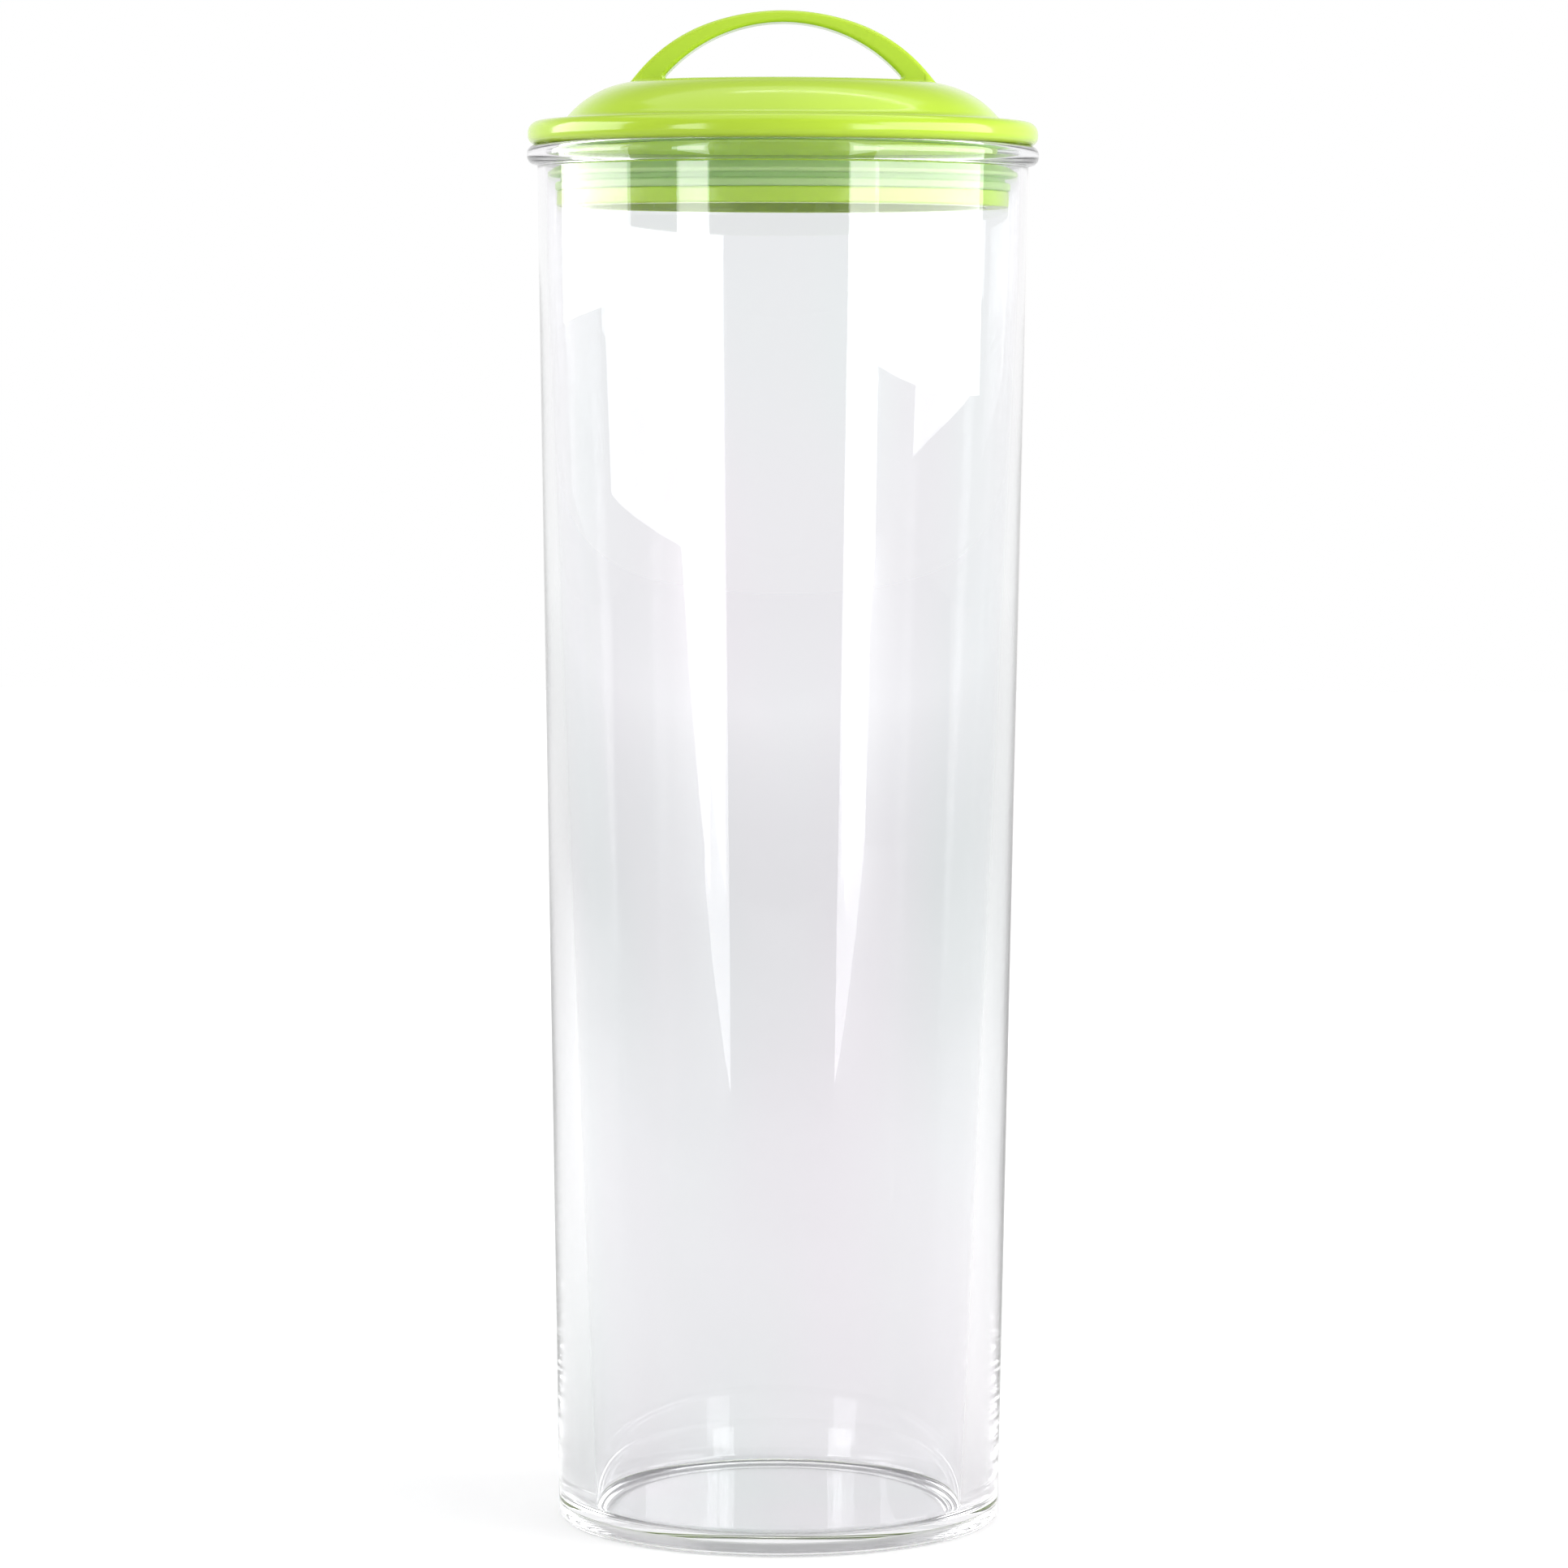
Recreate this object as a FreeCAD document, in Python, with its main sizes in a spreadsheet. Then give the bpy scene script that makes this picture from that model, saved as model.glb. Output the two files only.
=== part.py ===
import FreeCAD, Part
import math
import os

import Sketcher

# A tall clear canister for dry pasta, with a push-in lid: a lime cover with a strap handle, a plug under it
# and a sealing ring round the plug. Millimetres, +Z up. The origin is the middle of the foot, on the table,
# and the strap handle runs along X.

doc = FreeCAD.newDocument("PastaCanister")

# Driving dimensions. The seat is the flat top of the canister's mouth bead, where the lid rests.
SIZES = [
    ("canister_height", 291.8, "table to the seat of the lid"),
    ("mouth_diameter", 100.3, "bore at the seat"),
    ("bore_floor_diameter", 78.4, "bore where it meets the floor"),
    ("neck_wall", 1.65, "mouth bore to the outside of the wall under the bead"),
    ("foot_wall", 7.8, "bore at the floor to the outside of the wall at the table"),
    ("floor_thickness", 3.2, "clear floor, table to its upper face"),
    ("floor_corner_radius", 2.0, "round between bore and floor"),
    ("foot_edge_radius", 1.4, "round at the foot's outer edge"),
    ("foot_ring_width", 7.0, "ring that the canister stands on"),
    ("foot_recess_depth", 1.2, "shallow recess inside that ring"),
    ("foot_recess_ramp", 7.0, "curved rise from the ring to the recess"),
    ("bead_height", 4.2, "bead round the mouth, its lower edge to the seat"),
    ("bead_overhang", 2.2, "bead beyond the neck"),
    ("mouth_edge_break", 0.5, "broken edge inside the mouth"),
    ("rim_inset", 0.2, "lid rim inside the bead's outer edge"),
    ("rim_height", 5.0, "lid rim, seat to its upper face"),
    ("rim_top_radius", 2.5, "upper round of the rim"),
    ("rim_lower_break", 0.8, "broken lower edge of the rim"),
    ("rim_width", 5.7, "rim edge to the foot of the dome"),
    ("dome_height", 8.2, "rim's upper face to the flat top"),
    ("dome_shoulder_radius", 20.0, "convex round of the dome"),
    ("dome_foot_radius", 4.0, "hollow round where the dome leaves the rim"),
    ("cover_wall", 2.5, "thickness of the dome"),
    ("handle_height", 15.0, "flat top to the crown of the strap"),
    ("handle_overhang", 1.97, "outer foot of the strap beyond the edge of the flat top"),
    ("handle_foot_length", 6.1, "one foot, along the span"),
    ("handle_thickness", 2.45, "strap at its crown"),
    ("handle_width", 10.4, "strap, front to back"),
    ("handle_edge_radius", 0.9, "round along the strap's edges"),
    ("handle_root_radius", 1.0, "round where the feet leave the dome"),
    ("plug_depth", 13.0, "seat to the plug's lower edge"),
    ("plug_wall", 2.2, "collar of the plug"),
    ("plug_recess", 6.0, "hollow underside, the plug's lower edge to the web across it"),
    ("plug_web", 2.0, "web that closes the plug"),
    ("flange_height", 3.4, "flange round the plug's lower end"),
    ("flange_clearance", 2.0, "gap from flange to bore, on the radius"),
    ("flange_edge_break", 0.5, "broken outer edges of the flange"),
    ("collar_step", 2.4, "flange beyond the collar"),
    ("socket_depth", 2.6, "collar's seat inside the cover, above the lid's seat"),
    ("socket_clearance", 0.05, "gap from collar to socket, on the radius"),
    ("seal_wall", 1.6, "sealing ring between its ribs"),
    ("seal_clearance", 0.05, "gap from collar to sealing ring, on the radius"),
    ("seal_rib_height", 1.7, "lower rib of the seal"),
    ("seal_rib_reach", 1.1, "lower rib beyond the seal's wall"),
    ("seal_groove_height", 1.2, "groove between lower rib and lip"),
    ("seal_lip_height", 2.6, "lip that faces the bore"),
    ("seal_lip_clearance", 0.3, "gap from lip to bore, on the radius"),
    ("seal_edge_break", 0.5, "broken edges of rib and lip"),
]

sheet = doc.addObject("Spreadsheet::Sheet", "Sizes")
for row, (name, value, meaning) in enumerate(SIZES, start=1):
    sheet.set("A{}".format(row), meaning)
    sheet.set("B{}".format(row), str(value))
    sheet.setAlias("B{}".format(row), name)
doc.recompute()

# Shares of the bead's height and overhang that each of its two outer rounds takes at most
BEAD_HEIGHT_SHARE = 0.45
BEAD_OVERHANG_SHARE = 0.9
# The crown of the strap is one flat curve in the middle of the arch: its radius and half its length,
# as shares of half the strap's span
CROWN_RADIUS_SHARE = 1.4685
CROWN_REACH_SHARE = 0.4687
# How far two places may differ and still count as the same edge
MATCH = 1e-3


class Length:
    """A length worked out from the sheet: its value, and the expression that ties a shape to the cells."""

    def __init__(self, value, expression):
        self.value = value
        self.expression = expression

    def combine(self, other, result, sign):
        text = other.expression if isinstance(other, Length) else repr(other)
        return Length(result, "({} {} {})".format(self.expression, sign, text))

    def __add__(self, other):
        return self.combine(other, self.value + plain(other), "+")

    def __sub__(self, other):
        return self.combine(other, self.value - plain(other), "-")

    def __mul__(self, other):
        return self.combine(other, self.value * plain(other), "*")

    def __truediv__(self, other):
        return self.combine(other, self.value / plain(other), "/")


def plain(number):
    """The bare value of a length or a number."""
    return number.value if isinstance(number, Length) else number


def opposite(length):
    """The same length, counted the other way along its axis."""
    return Length(-length.value, "(0 - {})".format(length.expression))


def size(name):
    """A driving dimension, by its name in the sheet."""
    return Length(float(sheet.get(name)), "Sizes." + name)


def lesser(one, other):
    """The smaller of two lengths."""
    return Length(min(one.value, other.value), "min({}; {})".format(one.expression, other.expression))


def root(square):
    """The square root of a squared length."""
    return Length(math.sqrt(square.value), "sqrt({})".format(square.expression))


def leg(hypotenuse, other_leg):
    """The remaining side of a right triangle."""
    return root(hypotenuse * hypotenuse - other_leg * other_leg)


# Heights and radii that several pieces share

seat = size("canister_height")
mouth_radius = size("mouth_diameter") / 2
floor_radius = size("bore_floor_diameter") / 2
bore_height = seat - size("floor_thickness")
neck_radius = mouth_radius + size("neck_wall")
bead_radius = neck_radius + size("bead_overhang")


def bore_radius(height):
    """Radius of the tapered bore at a height above the table."""
    widening = mouth_radius - floor_radius
    return floor_radius + widening * (height - size("floor_thickness")) / bore_height


plug_bottom = seat - size("plug_depth")
flange_top = plug_bottom + size("flange_height")
flange_radius = bore_radius(plug_bottom) - size("flange_clearance")
collar_radius = flange_radius - size("collar_step")
collar_bore = collar_radius - size("plug_wall")
socket_top = seat + size("socket_depth")

rim_radius = bead_radius - size("rim_inset")
rim_top = seat + size("rim_height")
flat_top = rim_top + size("dome_height")
shoulder = size("dome_shoulder_radius")
shoulder_height = flat_top - shoulder
dome_foot = size("dome_foot_radius")
dome_foot_reach = leg(shoulder + dome_foot, rim_top + dome_foot - shoulder_height)
flat_top_radius = rim_radius - size("rim_width") - dome_foot_reach


# Ways of drawing

def pin(sketch, point, x, z):
    """Ties a sketch point to its place, measured from the origin. None puts it on the axis itself."""
    for kind, place, axis in (("DistanceX", x, -2), ("DistanceY", z, -1)):
        if place is None:
            sketch.addConstraint(Sketcher.Constraint("PointOnObject", *point, axis))
            continue
        ends = ((-1, 1), point) if place.value > 0 else (point, (-1, 1))
        sign = "" if place.value > 0 else "-"
        index = sketch.addConstraint(Sketcher.Constraint(kind, *ends[0], *ends[1], abs(place.value)))
        sketch.setExpression("Constraints[{}]".format(index), sign + place.expression)


def edge_between(start, end, bend):
    """A straight edge, or an arc of a given radius that bulges to the right (+1) or left (-1)."""
    if bend is None:
        return Part.LineSegment(start, end)
    radius, side = bend
    chord = end - start
    middle = (start + end) * 0.5
    across = FreeCAD.Vector(chord.y, -chord.x, 0).normalize()
    rise = radius.value - math.sqrt(radius.value ** 2 - (chord.Length / 2) ** 2)
    return Part.Arc(start, middle + across * (rise * side), end)


def outline(body, name, corners):
    """A closed sketch in the body's XZ plane. A corner is x, z and the bend of the edge that follows it."""
    plane = next(item for item in body.Origin.OriginFeatures if item.Role == "XZ_Plane")
    sketch = body.newObject("Sketcher::SketchObject", name)
    sketch.AttachmentSupport = (plane, [""])
    sketch.MapMode = "FlatFace"
    places = []
    for x, z, bend in corners:
        places.append(FreeCAD.Vector(plain(x) if x else 0, plain(z) if z else 0, 0))
    count = len(corners)
    starts = []
    ends = []
    for index, (x, z, bend) in enumerate(corners):
        edge = edge_between(places[index], places[(index + 1) % count], bend)
        number = sketch.addGeometry(edge, False)
        # An arc is kept counter-clockwise, so one that bulges to the left runs from its end to its start
        flipped = bend is not None and bend[1] < 0
        starts.append((number, 2 if flipped else 1))
        ends.append((number, 1 if flipped else 2))
        if bend is not None:
            mark = sketch.addConstraint(Sketcher.Constraint("Radius", number, bend[0].value))
            sketch.setExpression("Constraints[{}]".format(mark), bend[0].expression)
    for index, (x, z, bend) in enumerate(corners):
        sketch.addConstraint(Sketcher.Constraint("Coincident", *ends[index - 1], *starts[index]))
        pin(sketch, starts[index], x, z)
    doc.recompute()
    return sketch


def revolve(body, name, sketch):
    """Turns an outline once round the body's Z axis."""
    feature = body.newObject("PartDesign::Revolution", name)
    feature.Profile = sketch
    feature.ReferenceAxis = (sketch, ["V_Axis"])
    feature.Angle = 360
    doc.recompute()
    return feature


def rings(shape, places):
    """Names of the circular edges that run round the Z axis at the given radii and heights."""
    found = []
    for radius, height in places:
        for index, edge in enumerate(shape.Edges, start=1):
            curve = edge.Curve
            if not isinstance(curve, Part.Circle) or abs(curve.Radius - radius.value) > MATCH:
                continue
            if curve.Center.distanceToPoint(FreeCAD.Vector(0, 0, plain(height))) < MATCH:
                found.append("Edge{}".format(index))
    return found


def soften(body, name, base, edges, radius):
    """Rounds the named edges of the base feature."""
    feature = body.newObject("PartDesign::Fillet", name)
    feature.Base = (base, edges)
    feature.setExpression("Radius", radius.expression)
    doc.recompute()
    return feature


def new_body(name):
    """A body for one piece of the canister, labelled with the piece's own name."""
    body = doc.addObject("PartDesign::Body", name)
    body.Label = name
    return body


# Canister: one clear moulding, turned from its section, with every lip and corner rounded

def make_canister():
    bead_foot = seat - size("bead_height")
    foot_radius = floor_radius + size("foot_wall")
    mouth_break = size("mouth_edge_break")
    ring_radius = foot_radius - size("foot_ring_width")
    recess = size("foot_recess_depth")
    ramp = size("foot_recess_ramp")
    ramp_curve = (ramp * ramp + recess * recess) / (recess * 2)
    body = new_body("canister")
    section = outline(body, "CanisterSection", [
        (None, recess, None),
        (ring_radius - ramp, recess, (ramp_curve, -1)),
        (ring_radius, None, None),
        (foot_radius, None, None),
        (neck_radius, bead_foot, None),
        (bead_radius, bead_foot, None),
        (bead_radius, seat, None),
        (mouth_radius + mouth_break, seat, None),
        (bore_radius(seat - mouth_break), seat - mouth_break, None),
        (floor_radius, size("floor_thickness"), None),
        (None, size("floor_thickness"), None),
    ])
    rounded = revolve(body, "CanisterTurned", section)
    bead_round = lesser(
        size("bead_height") * BEAD_HEIGHT_SHARE,
        size("bead_overhang") * BEAD_OVERHANG_SHARE,
    )
    rounds = [
        ("BeadRound", [(bead_radius, bead_foot), (bead_radius, seat)], bead_round),
        ("FootEdge", [(foot_radius, 0)], size("foot_edge_radius")),
        ("FloorCorner", [(floor_radius, size("floor_thickness"))], size("floor_corner_radius")),
    ]
    for name, places, radius in rounds:
        rounded = soften(body, name, rounded, rings(rounded.Shape, places), radius)
    return body


# Lid cover: the strap handle first, with its edges rounded, then the dome and rim turned round it

def make_lid_cover():
    half_span = flat_top_radius + size("handle_overhang")
    crown_half = half_span * CROWN_REACH_SHARE
    crown = flat_top + size("handle_height")
    crown_radius = half_span * CROWN_RADIUS_SHARE
    crown_depth = leg(crown_radius, crown_half)
    crown_end = crown - crown_radius + crown_depth

    # Shoulder of the strap: an arc tangent to the crown's, through the outer foot
    out = half_span - crown_half
    down = crown_end - flat_top
    lean = crown_depth * down - crown_half * out
    strap_shoulder = (out * out + down * down) * crown_radius / (lean * 2)
    shoulder_centre_x = crown_half - crown_half * strap_shoulder / crown_radius
    shoulder_centre = crown_end - crown_depth * strap_shoulder / crown_radius

    # Opening under the strap: one arc from inner foot to inner foot
    inner_foot = half_span - size("handle_foot_length")
    opening_height = size("handle_height") - size("handle_thickness")
    opening_radius = (inner_foot * inner_foot + opening_height * opening_height) / (opening_height * 2)
    opening_centre = flat_top + opening_height - opening_radius

    # Both arcs run on down to the middle of the dome's wall
    half_wall = size("cover_wall") / 2
    fall = shoulder - leg(shoulder, size("handle_overhang"))
    inner_root = flat_top - half_wall
    outer_root = inner_root - fall
    inner_root_x = leg(opening_radius, inner_root - opening_centre)
    outer_root_x = shoulder_centre_x + leg(strap_shoulder, outer_root - shoulder_centre)

    body = new_body("lid_cover")
    strap = outline(body, "StrapOutline", [
        (outer_root_x, outer_root, (strap_shoulder, 1)),
        (crown_half, crown_end, (crown_radius, 1)),
        (opposite(crown_half), crown_end, (strap_shoulder, 1)),
        (opposite(outer_root_x), outer_root, None),
        (opposite(inner_root_x), inner_root, (opening_radius, -1)),
        (inner_root_x, inner_root, None),
    ])
    pad = body.newObject("PartDesign::Pad", "StrapPad")
    pad.Profile = strap
    pad.Midplane = True
    pad.setExpression("Length", "Sizes.handle_width")
    doc.recompute()
    curved_edges = []
    for index, edge in enumerate(pad.Shape.Edges, start=1):
        if isinstance(edge.Curve, Part.Circle):
            curved_edges.append("Edge{}".format(index))
    soften(body, "StrapEdges", pad, curved_edges, size("handle_edge_radius"))

    # Dome and rim: outside from the rim's underside up to the flat top, then back down inside
    rim_lower = size("rim_lower_break")
    rim_upper = size("rim_top_radius")
    dome_foot_radius_at = flat_top_radius + dome_foot_reach
    tangent_share = shoulder / (shoulder + dome_foot)
    tangent_radius = flat_top_radius + dome_foot_reach * tangent_share
    tangent_height = shoulder_height + (rim_top + dome_foot - shoulder_height) * tangent_share
    inner_shoulder = shoulder - size("cover_wall")
    hollow_height = shoulder_height + leg(inner_shoulder, collar_bore - flat_top_radius)
    socket_radius = collar_radius + size("socket_clearance")
    section = outline(body, "CoverSection", [
        (socket_radius, seat, None),
        (rim_radius - rim_lower, seat, None),
        (rim_radius, seat + rim_lower, None),
        (rim_radius, rim_top - rim_upper, (rim_upper, 1)),
        (rim_radius - rim_upper, rim_top, None),
        (dome_foot_radius_at, rim_top, (dome_foot, -1)),
        (tangent_radius, tangent_height, (shoulder, 1)),
        (flat_top_radius, flat_top, None),
        (None, flat_top, None),
        (None, flat_top - size("cover_wall"), None),
        (flat_top_radius, flat_top - size("cover_wall"), (inner_shoulder, -1)),
        (collar_bore, hollow_height, None),
        (collar_bore, socket_top, None),
        (socket_radius, socket_top, None),
    ])
    cover = revolve(body, "CoverTurned", section)

    # Round where each foot of the strap grows out of the dome
    half_width = size("handle_width").value / 2 + MATCH
    nearest = inner_foot.value - MATCH
    farthest = outer_root_x.value + MATCH
    highest = flat_top.value + MATCH
    root_edges = []
    for index, edge in enumerate(cover.Shape.Edges, start=1):
        points = edge.discretize(5)
        if all(abs(p.y) < half_width and nearest < abs(p.x) < farthest and p.z < highest for p in points):
            root_edges.append("Edge{}".format(index))
    soften(body, "StrapRoots", cover, root_edges, size("handle_root_radius"))
    return body


# Lid plug: a collar that stands in the cover's socket, a web across it, and a flange that carries the seal

def make_lid_plug():
    edge = size("flange_edge_break")
    web_bottom = plug_bottom + size("plug_recess")
    web_top = web_bottom + size("plug_web")
    body = new_body("lid_plug")
    section = outline(body, "PlugSection", [
        (None, web_bottom, None),
        (collar_bore, web_bottom, None),
        (collar_bore, plug_bottom, None),
        (flange_radius - edge, plug_bottom, None),
        (flange_radius, plug_bottom + edge, None),
        (flange_radius, flange_top - edge, None),
        (flange_radius - edge, flange_top, None),
        (collar_radius, flange_top, None),
        (collar_radius, socket_top, None),
        (collar_bore, socket_top, None),
        (collar_bore, web_top, None),
        (None, web_top, None),
    ])
    revolve(body, "PlugTurned", section)
    return body


# Sealing ring: a soft sleeve round the collar, with a lower rib and a lip that faces the bore

def make_seal_ring():
    edge = size("seal_edge_break")
    bore = collar_radius + size("seal_clearance")
    wall = bore + size("seal_wall")
    rib = wall + size("seal_rib_reach")
    rib_top = flange_top + size("seal_rib_height")
    lip_foot = rib_top + size("seal_groove_height")
    lip_top = lip_foot + size("seal_lip_height")
    lip = bore_radius(lip_foot) - size("seal_lip_clearance")
    body = new_body("seal_ring")
    section = outline(body, "SealSection", [
        (bore, flange_top, None),
        (rib - edge, flange_top, None),
        (rib, flange_top + edge, None),
        (rib, rib_top - edge, None),
        (rib - edge, rib_top, None),
        (wall, rib_top, None),
        (wall, lip_foot, None),
        (lip - edge, lip_foot, None),
        (lip, lip_foot + edge, None),
        (wall, lip_top, None),
        (bore, lip_top, None),
    ])
    revolve(body, "SealTurned", section)
    return body


canister = make_canister()
lid_cover = make_lid_cover()
lid_plug = make_lid_plug()
seal_ring = make_seal_ring()
doc.recompute()

pieces = [canister, lid_cover, lid_plug, seal_ring]
for item in doc.Objects:
    if "Invalid" in item.State or "Error" in item.State:
        raise RuntimeError("{} could not be made: {}".format(item.Name, item.State))
for piece in pieces:
    if piece.Shape.isNull() or not piece.Shape.isValid():
        raise RuntimeError("{} has no valid shape".format(piece.Label))
    if len(piece.Shape.Solids) != 1:
        raise RuntimeError("{} is not one solid".format(piece.Label))
    print(piece.Label, round(piece.Shape.Volume, 1), "cubic mm")

os.makedirs("parts", exist_ok=True)
for piece in pieces:
    piece.Shape.exportStep("parts/{}.step".format(piece.Label))
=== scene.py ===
# A tall clear canister for dry pasta with a push-in lime lid, dressed over its CAD model. Metres, +Z up.
import math

import bmesh
import bpy
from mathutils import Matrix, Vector


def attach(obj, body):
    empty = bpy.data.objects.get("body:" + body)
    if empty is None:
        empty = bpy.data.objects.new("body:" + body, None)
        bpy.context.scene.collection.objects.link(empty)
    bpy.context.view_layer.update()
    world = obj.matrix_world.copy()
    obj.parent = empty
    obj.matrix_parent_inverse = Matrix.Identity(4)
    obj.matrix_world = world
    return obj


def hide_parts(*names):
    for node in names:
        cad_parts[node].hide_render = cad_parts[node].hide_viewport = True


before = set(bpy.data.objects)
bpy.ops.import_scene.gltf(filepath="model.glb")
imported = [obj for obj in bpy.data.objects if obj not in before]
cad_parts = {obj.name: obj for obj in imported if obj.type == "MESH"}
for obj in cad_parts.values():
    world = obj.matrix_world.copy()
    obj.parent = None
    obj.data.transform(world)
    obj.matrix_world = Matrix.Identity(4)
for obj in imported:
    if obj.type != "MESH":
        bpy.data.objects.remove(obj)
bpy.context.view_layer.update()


# Canister: one thick-walled injection moulding in clear acrylic, polished in the tool. Its wall is even past the
# lid's plug, then grows heavier down to a thick floor, and a rounded bead stiffens the mouth.

# The pieces' sizes are in mm, and MM turns them into metres. The studio's are in metres
MM = 0.001
WELD = 0.0001
TURN_STEPS = 256
DEGREES_PER_STEP = 12
TRUE_CORNER = 32
HOLD = 0.5

RECESS_RADIUS = 36.6
RECESS_TOP = 1.2
RECESS_DOME = 21.0
RING_RADIUS = 40.0
FOOT_RADIUS = 47.0
FLOOR_RADIUS = 39.2
FLOOR_TOP = 3.2
NECK_RADIUS = 51.8
MOUTH_RADIUS = 50.15
EVEN_WALL_RADIUS = 49.65
EVEN_WALL_FOOT = 262.0
EVEN_WALL_BEND = 800.0
BEAD_RADIUS = 54.0
BEAD_BOTTOM = 287.6
BEAD_ROUND = 1.89
SEAT = 291.8


def run_to(bm, pen, x, z):
    """Draws one straight run of a section. A long run gets a holding point near each end, to shade flat."""
    start = pen.co / MM
    end = Vector((x, 0, z))
    stops = [end]
    if (end - start).length > HOLD * 4:
        along = (end - start).normalized() * HOLD
        stops = [start + along, end - along, end]
    for stop in stops:
        tip = bm.verts.new(stop * MM)
        bm.edges.new((pen, tip))
        pen = tip
    return pen


def draw_section(bm, corners, closed):
    """Draws a turned piece's section. Each corner is its radius from the axis, its height and its round, in mm."""
    first = bm.verts.new((corners[0][0] * MM, 0, corners[0][1] * MM))
    pen = first
    for index in range(1, len(corners)):
        x, z, bend = corners[index]
        if not bend:
            pen = run_to(bm, pen, x, z)
            continue
        here = Vector((x, z))
        into = (here - Vector(corners[index - 1][:2])).normalized()
        out = (Vector(corners[index + 1][:2]) - here).normalized()
        turn = into.angle_signed(out)
        start = here - into * (bend * math.tan(abs(turn) / 2))
        across = Vector((into.y, -into.x)) * math.copysign(bend, turn)
        centre = start + across
        pen = run_to(bm, pen, start.x, start.y)
        steps = 3 + math.ceil(math.degrees(abs(turn)) / DEGREES_PER_STEP + bend * abs(turn))
        made = bmesh.ops.spin(
            bm, geom=[pen], cent=(centre.x * MM, 0, centre.y * MM), axis=(0, 1, 0), angle=turn, steps=steps)
        pen = made["geom_last"][0]
    if closed:
        bm.edges.new((pen, first))


def finished(name, bm):
    """Puts a mesh into the scene as a piece, smooth but for its true corners."""
    mesh = bpy.data.meshes.new(name)
    bm.to_mesh(mesh)
    bm.free()
    mesh.shade_smooth()
    mesh.set_sharp_from_angle(angle=math.radians(TRUE_CORNER))
    piece = bpy.data.objects.new(name, mesh)
    bpy.context.scene.collection.objects.link(piece)
    return piece


def turned(name, corners, closed=False, extra=None):
    """Spins a section once round the canister's axis, and returns the piece, ready for its material."""
    bm = bmesh.new()
    draw_section(bm, corners, closed)
    bmesh.ops.remove_doubles(bm, verts=bm.verts, dist=WELD * MM)
    bmesh.ops.spin(
        bm, geom=bm.verts[:] + bm.edges[:], cent=(0, 0, 0), axis=(0, 0, 1), angle=math.tau,
        steps=TURN_STEPS, use_merge=True)
    bmesh.ops.remove_doubles(bm, verts=bm.verts, dist=WELD * MM)
    bmesh.ops.recalc_face_normals(bm, faces=bm.faces)
    if extra:
        bm.from_mesh(extra)
    return finished(name, bm)


def node(tree, kind, links=(), **settings):
    """Adds a shader node, with its own settings, and joins its inputs to other nodes' outputs."""
    made = tree.nodes.new(kind)
    for key, value in settings.items():
        if hasattr(made, key):
            setattr(made, key, value)
        else:
            made.inputs[key.replace("_", " ")].default_value = value
    for socket, source in links:
        tree.links.new(source, made.inputs[socket])
    return made


def noise(tree, place, scale, detail):
    """Cloudy noise over a piece. The scale counts its clouds to the metre, and the detail its finer layers."""
    return node(tree, "ShaderNodeTexNoise", [("Vector", place)], Scale=scale, Detail=detail).outputs["Fac"]


def ranged(tree, value, start, end, low, high):
    """Turns a value's run from start to end into one from low to high, and stays level beyond both ends."""
    made = node(
        tree, "ShaderNodeMapRange", [("Value", value)], From_Min=start, From_Max=end, To_Min=low, To_Max=high)
    return made.outputs["Result"]


def tones(tree, value, stops):
    """Colours that run into one another along a value. Each stop is a place on the value and its colour."""
    made = node(tree, "ShaderNodeValToRGB", [("Fac", value)])
    elements = made.color_ramp.elements
    elements.remove(elements[1])
    elements[0].position = stops[0][0]
    elements[0].color = (*stops[0][1], 1)
    for position, colour in stops[1:]:
        elements.new(position).color = (*colour, 1)
    return made.outputs["Color"]


def relief(tree, height, strength, depth):
    """A bump in the skin, its depth in metres."""
    return node(tree, "ShaderNodeBump", [("Height", height)], Strength=strength, Distance=depth).outputs["Normal"]


def new_material(name):
    """An empty node material with its output node and its object coordinates."""
    material = bpy.data.materials.new(name)
    material.use_nodes = True
    tree = material.node_tree
    tree.nodes.clear()
    output = tree.nodes.new("ShaderNodeOutputMaterial")
    place = tree.nodes.new("ShaderNodeTexCoord").outputs["Object"]
    return material, tree, output, place


def coat(tree, output, colour, roughness, normal, **settings):
    """Joins a finish's colour, roughness and relief in its one shader."""
    shader = node(
        tree, "ShaderNodeBsdfPrincipled",
        [("Base Color", colour), ("Roughness", roughness), ("Normal", normal)], **settings)
    tree.links.new(shader.outputs["BSDF"], output.inputs["Surface"])


def clear_acrylic():
    """Clear polished acrylic: slow ripples from the mould's flow, faint stress tints, and fine handling marks."""
    material, tree, output, place = new_material("clear acrylic")
    flow = relief(tree, noise(tree, place, 16.0, 1.5), 0.25, 0.0004)
    drawn_out = node(tree, "ShaderNodeMapping", [("Vector", place)], Scale=(1.0, 1.0, 0.35))
    stress = tones(tree, noise(tree, drawn_out.outputs[0], 28.0, 1.0), [
        (0.3, (0.912, 0.936, 0.938)),
        (0.5, (0.927, 0.928, 0.940)),
        (0.72, (0.938, 0.920, 0.944)),
    ])
    marks = ranged(tree, noise(tree, place, 240.0, 4.0), 0.55, 0.8, 0.0, 0.02)
    coat(tree, output, stress, marks, flow, IOR=1.49, Transmission_Weight=1.0)
    return material


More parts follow.
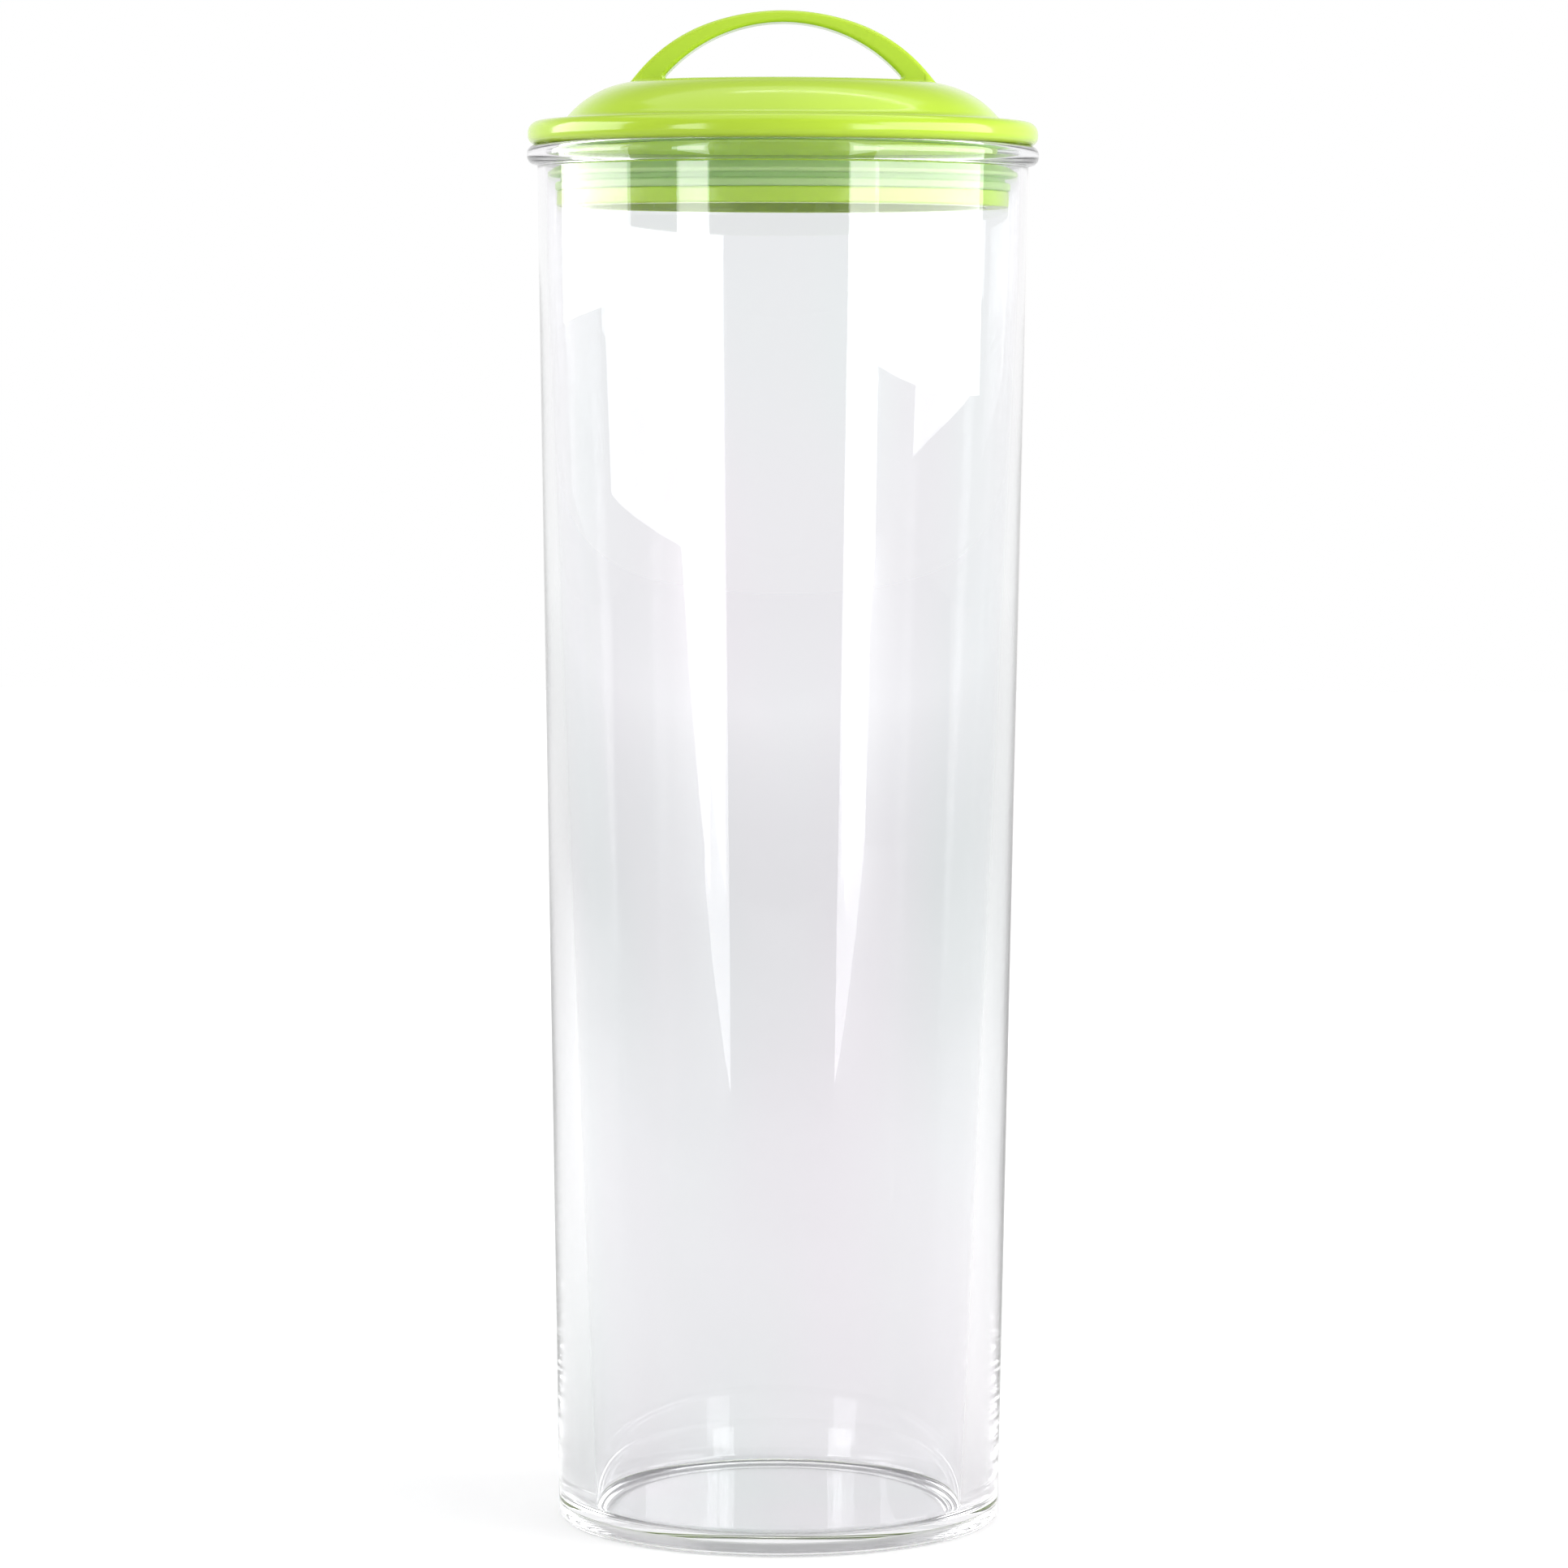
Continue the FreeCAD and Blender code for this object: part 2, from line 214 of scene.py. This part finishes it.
canister = turned("canister_vessel", [
    (0, RECESS_TOP, 0),
    (RECESS_RADIUS, RECESS_TOP, RECESS_DOME),
    (RING_RADIUS, 0, 0.25),
    (FOOT_RADIUS, 0, 1.4),
    (NECK_RADIUS, BEAD_BOTTOM, 0.5),
    (BEAD_RADIUS, BEAD_BOTTOM, BEAD_ROUND),
    (BEAD_RADIUS, SEAT, BEAD_ROUND),
    (MOUTH_RADIUS, SEAT, 0.5),
    (EVEN_WALL_RADIUS, EVEN_WALL_FOOT, EVEN_WALL_BEND),
    (FLOOR_RADIUS, FLOOR_TOP, 2.0),
    (0, FLOOR_TOP, 0),
])
canister.data.materials.append(clear_acrylic())
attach(canister, "canister")
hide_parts("canister")


# Lid plug: the lime part under the lid, seen through the wall. Its collar is pressed up into the cover's socket,
# a web closes it above a hollow underside, and the flange at its lower edge carries the sealing ring.

PLUG_BOTTOM = 278.8
FLANGE_RADIUS = 47.657
FLANGE_TOP = 282.2
COLLAR_RADIUS = 45.257
COLLAR_BORE = 43.057
WEB_BOTTOM = 284.8
WEB_TOP = 286.8
SOCKET_TOP = 294.4
# The hollow gets painted shade: its lime keeps this share of its brightness
HOLLOW_SHADE = 0.55
HOLLOW_REACH = 43.2
HOLLOW_EDGE = 0.2


def painted_hollow_shade(tree, place, lime):
    """Paints shade into the plug's hollow: the lime is darker nearer the axis than the hollow's reach."""
    parts = node(tree, "ShaderNodeSeparateXYZ", [(0, place)]).outputs
    level = node(tree, "ShaderNodeCombineXYZ", [("X", parts["X"]), ("Y", parts["Y"])]).outputs[0]
    reach = node(tree, "ShaderNodeVectorMath", [(0, level)], operation="LENGTH").outputs["Value"]
    shade = ranged(tree, reach, HOLLOW_REACH * MM, (HOLLOW_REACH + HOLLOW_EDGE) * MM, HOLLOW_SHADE, 1.0)
    return node(tree, "ShaderNodeVectorMath", [(0, lime), ("Scale", shade)], operation="SCALE").outputs["Vector"]


def lime_plastic(name, deep, bright, roughness, hollow=False):
    """Glossy opaque lime moulding: slow colour drift, a trace of orange peel, and a skin that varies in gloss."""
    material, tree, output, place = new_material(name)
    lime = tones(tree, noise(tree, place, 11.0, 3.0), [(0.3, deep), (0.7, bright)])
    # Painted shade inside the plug's hollow
    if hollow:
        lime = painted_hollow_shade(tree, place, lime)
    gloss = ranged(tree, noise(tree, place, 70.0, 5.0), 0.3, 0.7, roughness * 0.75, roughness * 1.35)
    peel = relief(tree, noise(tree, place, 420.0, 2.0), 0.04, 0.00004)
    coat(tree, output, lime, gloss, peel, IOR=1.49)
    return material


plug = turned("lid_plug_collar", [
    (0, WEB_BOTTOM, 0),
    (COLLAR_BORE, WEB_BOTTOM, 0.8),
    (COLLAR_BORE, PLUG_BOTTOM, 0.4),
    (FLANGE_RADIUS, PLUG_BOTTOM, 0.5),
    (FLANGE_RADIUS, FLANGE_TOP, 0.5),
    (COLLAR_RADIUS, FLANGE_TOP, 0.2),
    (COLLAR_RADIUS, SOCKET_TOP, 0),
    (COLLAR_BORE, SOCKET_TOP, 0),
    (COLLAR_BORE, WEB_TOP, 0.6),
    (0, WEB_TOP, 0),
])
# The plug's lime is painted lighter than the cover's, as painted light that makes up for light the clear wall
# keeps off it
plug.data.materials.append(lime_plastic("lime plug", (0.51, 0.78, 0.028), (0.55, 0.82, 0.036), 0.22, hollow=True))
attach(plug, "lid")
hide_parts("lid_plug")


# Sealing ring: a soft translucent sleeve stretched over the plug's collar, with a thick lower rib and a thinner
# lip that wipes the bore. Satin thermoplastic rubber, greyish green where the lime shows through.

SLEEVE_BORE = 45.307
SLEEVE_RADIUS = 46.907
SLEEVE_TOP = 287.7
RIB_RADIUS = 48.007
RIB_TOP = 283.9
LIP_RADIUS = 49.596
LIP_BOTTOM = 285.1
LIP_TOP = 285.9


def seal_rubber():
    """Translucent satin rubber with a faint grain and slightly uneven colour."""
    material, tree, output, place = new_material("seal rubber")
    colour = tones(tree, noise(tree, place, 45.0, 3.0), [(0.3, (0.50, 0.76, 0.26)), (0.7, (0.56, 0.82, 0.32))])
    grain = noise(tree, place, 1500.0, 2.0)
    coat(
        tree, output, colour, ranged(tree, grain, 0.2, 0.8, 0.38, 0.5), relief(tree, grain, 0.3, 0.00003),
        IOR=1.45, Subsurface_Weight=0.5, Subsurface_Radius=(0.9, 1.0, 0.7), Subsurface_Scale=0.003)
    return material


seal = turned("sealing_ring", [
    (SLEEVE_BORE, FLANGE_TOP, 0),
    (RIB_RADIUS, FLANGE_TOP, 0.5),
    (RIB_RADIUS, RIB_TOP, 0.5),
    (SLEEVE_RADIUS, RIB_TOP, 0.3),
    (SLEEVE_RADIUS, LIP_BOTTOM, 0.3),
    (LIP_RADIUS, LIP_BOTTOM, 0.5),
    (LIP_RADIUS, LIP_TOP, 0.4),
    (SLEEVE_RADIUS, SLEEVE_TOP, 0.6),
    (SLEEVE_BORE, SLEEVE_TOP, 0),
], closed=True)
seal.data.materials.append(seal_rubber())
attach(seal, "lid")
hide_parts("seal_ring")


# Lid cover: the glossy lime dome that rests on the bead, with the arched strap handle moulded on in one. The
# strap is a flat curve at the crown and two tighter ones down to its feet, and it runs out softly on the dome.

CEILING = 302.5
CEILING_RADIUS = 37.84
SOCKET_SHOULDER = 296.685
SOCKET_RADIUS = 45.307
RIM_RADIUS = 53.8
RIM_TOP = 296.8
VALLEY_RADIUS = 46.286
DOME_RADIUS = 39.112
FLAT_TOP = 305.0
FLAT_RADIUS = 30.035
SHOULDER = 20.0

# The strap's arcs, each with its centre's place and height, its angle in degrees and its steps
STRAP_FOOT = 303.5
OUTER_FOOT = 33.02
OUTER_ARCS = ((3.974, 284.80, 38.6, 30), (0, 273.0, 37.22, 40), (-3.974, 284.80, 38.6, 30))
INNER_FOOT = 27.02
INNER_ARCS = ((0, 284.54, 109.88, 100),)
STRAP_HALF_WIDTH = 5.2
STRAP_STEP = 1.5
CROSSING = 0.1
EDGE_ROUND = 0.9
EDGE_STEPS = 7
EDGE_HOLD = 0.25

# The strap's feet are cut off at a height above the flat top, and each root then lands on the dome by its round
CUT_ABOVE = 1.75
LANDING_ROUNDS = 3
ROOT_ROUND = 1.0
ROOT_STEPS = 8
ROOT_SINK = 0.01
ROOT_BURIED = 0.8


def dome_drop(x, y):
    """How far the dome lies below its flat top at a place, and the way its surface faces there, in mm."""
    reach = math.hypot(x, y)
    beyond = max(0.0, reach - FLAT_RADIUS)
    level = math.sqrt(SHOULDER ** 2 - beyond ** 2)
    facing = Vector((x * beyond / reach, y * beyond / reach, level)) / SHOULDER
    return SHOULDER - level, facing


def sweep(bm, foot, arcs):
    """Draws one row of the strap's arcs, from its foot on the right over to the left."""
    pen = bm.verts.new((foot * MM, 0, STRAP_FOOT * MM))
    for x, z, angle, steps in arcs:
        made = bmesh.ops.spin(
            bm, geom=[pen], cent=(x * MM, 0, z * MM), axis=(0, 1, 0), angle=-math.radians(angle), steps=steps)
        pen = made["geom_last"][0]


def root_path(vert):
    """The way from a point of the strap's cut foot along a round that meets the dome, and on to just below it."""
    side = vert.normal.copy()
    foot = vert.co / MM
    for _ in range(LANDING_ROUNDS):
        drop, up = dome_drop(foot.x, foot.y)
        down = (side * up.dot(side) - up).normalized()
        foot += down * ((foot.z - FLAT_TOP + drop) / -down.z)
    centre = foot + (side + up) * (ROOT_ROUND / (1 + side.dot(up)))
    path = [centre - side.slerp(up, step / ROOT_STEPS) * ROOT_ROUND for step in range(ROOT_STEPS + 1)]
    drop, up = dome_drop(path[-1].x, path[-1].y)
    path[-1].z = FLAT_TOP - drop - ROOT_SINK
    path.append(path[-1] - Vector((0, 0, ROOT_BURIED)))
    return path


def strap_handle():
    """The strap: two rows of arcs bridged into a band, widened, its edges rounded and its feet flared out."""
    bm = bmesh.new()
    sweep(bm, OUTER_FOOT, OUTER_ARCS)
    sweep(bm, INNER_FOOT, INNER_ARCS)
    bmesh.ops.bridge_loops(bm, edges=bm.edges[:])
    bmesh.ops.translate(bm, verts=bm.verts, vec=(0, -STRAP_HALF_WIDTH * MM, 0))
    made = bmesh.ops.extrude_face_region(bm, geom=bm.faces[:])
    far_side = [item for item in made["geom"] if isinstance(item, bmesh.types.BMVert)]
    bmesh.ops.translate(bm, verts=far_side, vec=(0, STRAP_HALF_WIDTH * 2 * MM, 0))
    bmesh.ops.recalc_face_normals(bm, faces=bm.faces)

    # The edges along the strap are its short ones that don't run across it
    long_edges = [
        edge for edge in bm.edges
        if edge.calc_length() < STRAP_STEP * MM and abs(edge.verts[0].co.y - edge.verts[1].co.y) < CROSSING * MM]
    bmesh.ops.bevel(
        bm, geom=long_edges, offset=EDGE_ROUND * MM, offset_type="OFFSET", segments=EDGE_STEPS, profile=0.5,
        affect="EDGES", clamp_overlap=False, material=-1)
    flats = [face for face in bm.faces if abs(face.normal.y) > 0.999 or abs(face.normal.y) < 0.001]
    bmesh.ops.inset_region(bm, faces=flats, thickness=EDGE_HOLD * MM, use_even_offset=True)

    # Each foot is cut off above the dome, then its open end is drawn out along its paths
    bmesh.ops.bisect_plane(
        bm, geom=bm.verts[:] + bm.edges[:] + bm.faces[:], dist=WELD * MM,
        plane_co=(0, 0, (FLAT_TOP + CUT_ABOVE) * MM), plane_no=(0, 0, 1), clear_inner=True)
    bm.normal_update()
    rim = [edge for edge in bm.edges if edge.is_boundary]
    paths = {vert: root_path(vert) for vert in {vert for edge in rim for vert in edge.verts}}
    for step in range(ROOT_STEPS + 2):
        made = bmesh.ops.extrude_edge_only(bm, edges=rim)
        rim = [item for item in made["geom"] if isinstance(item, bmesh.types.BMEdge)]
        moved = {}
        for vert in {vert for edge in rim for vert in edge.verts}:
            above = next(edge.other_vert(vert) for edge in vert.link_edges if edge.other_vert(vert) in paths)
            vert.co = paths[above][step] * MM
            moved[vert] = paths[above]
        paths = moved
    bmesh.ops.holes_fill(bm, edges=rim)
    bmesh.ops.recalc_face_normals(bm, faces=bm.faces)
    mesh = bpy.data.meshes.new("strap")
    bm.to_mesh(mesh)
    bm.free()
    return mesh


cover = turned("lid_cover_dome", [
    (0, CEILING, 0),
    (CEILING_RADIUS, CEILING, 17.5),
    (COLLAR_BORE, SOCKET_SHOULDER, 0),
    (COLLAR_BORE, SOCKET_TOP, 0),
    (SOCKET_RADIUS, SOCKET_TOP, 0),
    (SOCKET_RADIUS, SEAT, 0),
    (RIM_RADIUS, SEAT, 1.9),
    (RIM_RADIUS, RIM_TOP, 2.5),
    (VALLEY_RADIUS, RIM_TOP, 4.0),
    (DOME_RADIUS, FLAT_TOP, SHOULDER),
    (0, FLAT_TOP, 0),
], extra=strap_handle())
cover.data.materials.append(lime_plastic("lime cover", (0.41, 0.60, 0.036), (0.46, 0.655, 0.046), 0.14))
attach(cover, "lid")
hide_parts("lid_cover")


# Studio: a pale table, a white surround, two softboxes on each side, a soft light and a striplight above, and a
# weak fill in front. The surround's front half mirrors dim, so that the clear wall shows a softbox as a band with
# a sharp edge.

TABLE_HALF = 3.0
TABLE_DROP = 0.00015

# Each says where a change begins and ends, and its values there: along the mottle's noise, in metres from the
# canister's axis, or along the part of a direction that points back or up
TABLE_TONE = (0.2, 0.8, 0.60, 0.62)
GLOW_TO_EYE = (0.12, 0.8, 0.42, 0.94)
GLOW_TO_WALL = (0.12, 2.0, 0.24, 0.80)
UNDER_FOOT = (0.036, 0.045, 0.55, 0.0)
CLEAR_OF_FOOT = (0.15, 0.45, 0.0, 1.0)
BEHIND_FOOT = (-0.08, -0.03, 0.0, 1.0)
SURROUND_BEHIND = (-0.3, 0.3, 0.0, 1.0)
SURROUND_LOW = (0.3, 0.6, 1.0, 0.0)


def product(tree, first, second):
    """One value times another."""
    return node(tree, "ShaderNodeMath", [(0, first), (1, second)], operation="MULTIPLY").outputs[0]


def larger(tree, first, second):
    """The larger of two values."""
    return node(tree, "ShaderNodeMath", [(0, first), (1, second)], operation="MAXIMUM").outputs[0]


def studio_white(name):
    """Matt white that takes the canister's shadow, with a glow that depends on how the table is seen.
    The eye sees least glow round the foot and most far off. A sharply mirrored or bent ray meets the glow on the
    far half alone, and other rays through the wall meet it only away from the foot. Both meet less of it than the
    eye does, but for a patch right under the foot."""
    material, tree, output, place = new_material(name)
    tone = ranged(tree, noise(tree, place, 3.0, 2.0), *TABLE_TONE)
    surface = node(tree, "ShaderNodeBsdfDiffuse", [("Color", tone)])
    ray = node(tree, "ShaderNodeLightPath").outputs
    depth = node(tree, "ShaderNodeSeparateXYZ", [(0, place)]).outputs["Y"]
    reach = node(tree, "ShaderNodeVectorMath", [(0, place)], operation="LENGTH").outputs["Value"]
    by_eye = product(tree, ray["Is Camera Ray"], ranged(tree, reach, *GLOW_TO_EYE))
    mirrored = product(tree, ray["Is Glossy Ray"], ranged(tree, depth, *BEHIND_FOOT))
    through = product(tree, ray["Is Transmission Ray"], ranged(tree, reach, *CLEAR_OF_FOOT))
    level = larger(tree, ranged(tree, reach, *GLOW_TO_WALL), ranged(tree, reach, *UNDER_FOOT))
    by_wall = product(tree, larger(tree, mirrored, through), level)
    glow = node(tree, "ShaderNodeEmission", [("Strength", larger(tree, by_eye, by_wall))], Color=(1, 1, 1, 1))
    total = node(tree, "ShaderNodeAddShader", [(0, surface.outputs[0]), (1, glow.outputs[0])])
    tree.links.new(total.outputs[0], output.inputs["Surface"])
    return material


bm = bmesh.new()
bmesh.ops.create_grid(bm, x_segments=8, y_segments=8, size=TABLE_HALF)
bmesh.ops.translate(bm, verts=bm.verts, vec=(0, 0, -TABLE_DROP))
table = finished("studio_table", bm)
table.data.materials.append(studio_white("table white"))

# The surround is white to the eye. Low down it is also white through the wall, and mirrored on its far half
world = bpy.data.worlds.new("studio")
bpy.context.scene.world = world
world.use_nodes = True
tree = world.node_tree
tree.nodes.clear()
ray = node(tree, "ShaderNodeLightPath").outputs
toward = node(tree, "ShaderNodeTexCoord").outputs["Generated"]
parts = node(tree, "ShaderNodeSeparateXYZ", [(0, toward)]).outputs
far_half = ranged(tree, parts["Y"], *SURROUND_BEHIND)
low = ranged(tree, parts["Z"], *SURROUND_LOW)
mirrored = product(tree, ray["Is Glossy Ray"], product(tree, far_half, low))
through = product(tree, ray["Is Transmission Ray"], low)
white_share = larger(tree, ray["Is Camera Ray"], larger(tree, mirrored, through))
dim = node(tree, "ShaderNodeBackground", Color=(0.55, 0.55, 0.56, 1), Strength=0.5)
white = node(tree, "ShaderNodeBackground", Color=(1, 1, 1, 1), Strength=1.0)
both = node(tree, "ShaderNodeMixShader", [(0, white_share), (1, dim.outputs[0]), (2, white.outputs[0])])
node(tree, "ShaderNodeOutputWorld", [("Surface", both.outputs[0])])


def white_page(brightness, width, height):
    """The power of a panel whose face is this many times as bright as a white page."""
    return brightness * math.pi * width * height


def panel(name, width, height, power, place, turn=(0, 0, 0)):
    """A soft panel lamp that the camera doesn't see. It shines down until it is turned."""
    light = bpy.data.lights.new(name, "AREA")
    light.shape = "RECTANGLE"
    light.size = width
    light.size_y = height
    light.energy = power
    lamp = bpy.data.objects.new(name, light)
    lamp.location = place
    lamp.rotation_euler = turn
    lamp.visible_camera = False
    bpy.context.scene.collection.objects.link(lamp)
    return lamp


def softbox(name, near, far, bottom, top, brightness):
    """An upright soft panel between two places on the table, so many times as bright as a white page."""
    start = Vector((*near, (bottom + top) / 2))
    end = Vector((*far, (bottom + top) / 2))
    width = (end - start).length
    height = top - bottom
    middle = (start + end) / 2
    along = (end - start).normalized()
    facing = Vector((-along.y, along.x, 0))
    if facing.dot(middle) > 0:
        facing.negate()
    turn = facing.to_track_quat("-Z", "Y").to_euler()
    panel(name, width, height, white_page(brightness, width, height), middle, turn)


softbox("softbox_left_rear", (-0.87, -0.23), (-0.75, 0.50), 0.245, 0.80, 5.0)
softbox("softbox_left_front", (-0.65, -0.96), (-3.1, -2.6), 0.0, 0.60, 6.0)
softbox("softbox_right_rear", (0.66, -0.70), (0.88, 0.24), 0.216, 0.80, 5.0)
softbox("softbox_right_front", (0.57, -0.96), (2.2, -2.2), 0.0, 0.60, 6.0)
panel("softbox_above", 1.2, 1.2, 4.5, (0, 0, 1.2))
panel("striplight", 0.75, 0.025, white_page(8, 0.75, 0.025), (0.22, 0.34, 1.15))
front = panel("front_fill", 0.6, 0.6, 1.6, (0, -1.1, 0.35), (math.radians(90), 0, 0))
front.visible_glossy = False
front.visible_transmission = False

# The camera stands 1.24 m in front, at the photo's angle, which is a little downwards and hardly rolled
CAMERA_DOWN = 4.287
CAMERA_ROLL = 0.187
camera = bpy.data.objects.new("camera", bpy.data.cameras.new("camera"))
camera.data.lens = 134.13
camera.data.sensor_width = 36
camera.data.shift_x = 0.0011
camera.location = (0, -1.2393, 0.2497)
camera.rotation_euler = (math.radians(90 - CAMERA_DOWN), math.radians(-CAMERA_ROLL), 0)
bpy.context.scene.collection.objects.link(camera)
bpy.context.scene.camera = camera
bpy.context.scene.view_settings.view_transform = "Standard"

# Light runs a long way inside clear acrylic, so it may turn more often than usual before it is given up
MOST_TURNS = 32
cycles = bpy.context.scene.cycles
cycles.max_bounces = MOST_TURNS
cycles.glossy_bounces = MOST_TURNS
cycles.transmission_bounces = MOST_TURNS
